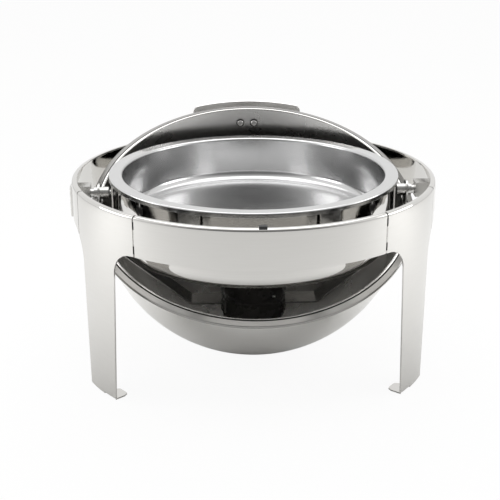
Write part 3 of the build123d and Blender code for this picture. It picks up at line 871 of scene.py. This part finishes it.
def rivet_tree():
    """Two pairs of rivets that point away from the middle, each a shank with two domed heads."""
    labels = ("Head Radius", "Head Height", "Shank Radius", "Inner", "Outer", "Height", "Side Angle")
    tree, into, out = node_group("rivet_ring", labels)
    link = tree.links.new
    parts = add_node(tree, "GeometryNodeJoinGeometry")
    tall = math_node(tree, "SUBTRACT", into.outputs["Outer"], into.outputs["Inner"])
    both_ends = math_node(tree, "ADD", into.outputs["Outer"], into.outputs["Inner"])
    middle = math_node(tree, "MULTIPLY", both_ends, 0.5)
    shank = add_node(tree, "GeometryNodeMeshCylinder")
    shank.inputs["Vertices"].default_value = 24
    link(into.outputs["Shank Radius"], shank.inputs["Radius"])
    link(tall, shank.inputs["Depth"])
    centre = add_node(tree, "ShaderNodeCombineXYZ")
    link(middle, centre.inputs["X"])
    link(into.outputs["Height"], centre.inputs["Z"])
    stand = add_node(tree, "GeometryNodeTransform")
    stand.inputs["Rotation"].default_value = (0, pi / 2, 0)
    link(shank.outputs["Mesh"], stand.inputs["Geometry"])
    link(centre.outputs[0], stand.inputs["Translation"])
    link(stand.outputs[0], parts.inputs[0])
    flat = add_node(tree, "ShaderNodeCombineXYZ")
    for axis, label in (("X", "Head Height"), ("Y", "Head Radius"), ("Z", "Head Radius")):
        link(into.outputs[label], flat.inputs[axis])
    for level in ("Inner", "Outer"):
        ball = add_node(tree, "GeometryNodeMeshUVSphere")
        ball.inputs["Segments"].default_value = 32
        ball.inputs["Rings"].default_value = 16
        ball.inputs["Radius"].default_value = 1.0
        at = add_node(tree, "ShaderNodeCombineXYZ")
        link(into.outputs[level], at.inputs["X"])
        link(into.outputs["Height"], at.inputs["Z"])
        head = add_node(tree, "GeometryNodeTransform")
        link(ball.outputs["Mesh"], head.inputs["Geometry"])
        link(flat.outputs[0], head.inputs["Scale"])
        link(at.outputs[0], head.inputs["Translation"])
        link(head.outputs[0], parts.inputs[0])
    soft = add_node(tree, "GeometryNodeSetShadeSmooth")
    link(parts.outputs[0], soft.inputs["Geometry"])
    single = add_node(tree, "GeometryNodeGeometryToInstance")
    link(soft.outputs[0], single.inputs[0])
    ring = add_node(tree, "GeometryNodeJoinGeometry")
    for half_turn in (0.0, pi):
        for way in (1.0, -1.0):
            about = add_node(tree, "GeometryNodeTransform")
            angle = add_node(tree, "ShaderNodeCombineXYZ")
            turn = math_node(tree, "MULTIPLY", into.outputs["Side Angle"], way)
            link(math_node(tree, "ADD", turn, half_turn), angle.inputs["Z"])
            link(single.outputs[0], about.inputs["Geometry"])
            link(angle.outputs[0], about.inputs["Rotation"])
            link(about.outputs[0], ring.inputs[0])
    finish_tree(tree, into, out, ring.outputs[0])
    return tree


rivets = grown("rivet_ring", rivet_tree(), {
    "Head Radius": rivet_head_r, "Head Height": rivet_head_h, "Shank Radius": rivet_shank_r,
    "Inner": rivet_r_in, "Outer": rivet_r_out, "Height": rivet_up, "Side Angle": rivet_side}, bright_bar)
set_in_place(rivets, "frame", "brushed_steel", "holder_rivets")

# ---- handle screws --------------------------------------------------------------------------
# Two button headed screws with a round socket run through black washers, the lid and the pedestal
# into the handle.
screw_turn = pi / 2 - asin((screw_z - dome_z) / dome_in)
screw_reach = sqrt(dome_in ** 2 - (screw_apart / 2) ** 2)
washer_r, washer_bore, washer_t, washer_round, washer_cut = 0.0062, 0.0026, 0.001, 0.0004, 0.0003
washer_sink = 0.0006
washer_out = screw_reach - washer_sink
washer_in = washer_out - washer_t
screw_head_r, screw_head_h, screw_crown, screw_shank_r, screw_l = 0.0052, 0.0026, 0.0021, 0.00245, 0.020
socket_r, socket_deep, screw_cut = 0.0016, 0.0013, 0.0002
socket_floor, head_top, screw_end = washer_in - socket_deep, washer_in - screw_head_h, washer_in + screw_l
screw_line = round_corners([
    (0.0, socket_floor, 0), (socket_r, socket_floor, 0), (socket_r, head_top, screw_cut),
    (screw_head_r, head_top, screw_crown), (screw_head_r, washer_in, screw_cut),
    (screw_shank_r, washer_in, 0), (screw_shank_r, screw_end, washer_cut), (0.0, screw_end, 0)])
washer_line = round_corners([
    (washer_bore, washer_in, 0), (washer_r, washer_in, washer_round),
    (washer_r, washer_out, washer_cut), (washer_bore, washer_out, 0)])
for number, side in enumerate((-1, 1), 1):
    aim = (open_place @ Matrix.Translation((side * screw_apart / 2, 0, dome_z))
           @ Matrix.Rotation(screw_turn, 4, "X"))
    screw = lathe(f"screw_{number}", screw_line, bright_bar, 48, aim)
    washer = lathe(f"washer_{number}", washer_line, plastic, 48, aim)
    set_in_place(screw, "dome", "polished_steel", "handle_screws")
    set_in_place(washer, "dome", "black_plastic", "handle_washers")

# ---- parts kept as they were machined -------------------------------------------------------
# The blocks, pins, covers, lugs, brackets and the fuel holder keep their exact shapes and take
# the finish of their material.
looks = {"polished_steel": bright_bar, "brushed_steel": satin_bar, "satin_steel": satin_bar,
         "black_enamel": gloss_black, "black_rubber": rubber, "black_plastic": plastic}
for part in frame["record"]["subparts"]:
    node = frame["nodes"][part["node"]]
    if not node.hide_render:
        look_of = strap_steel if part["node"] == "burner_strap" else looks[part["material_slot"]]
        node.data.materials.clear()
        node.data.materials.append(look_of)
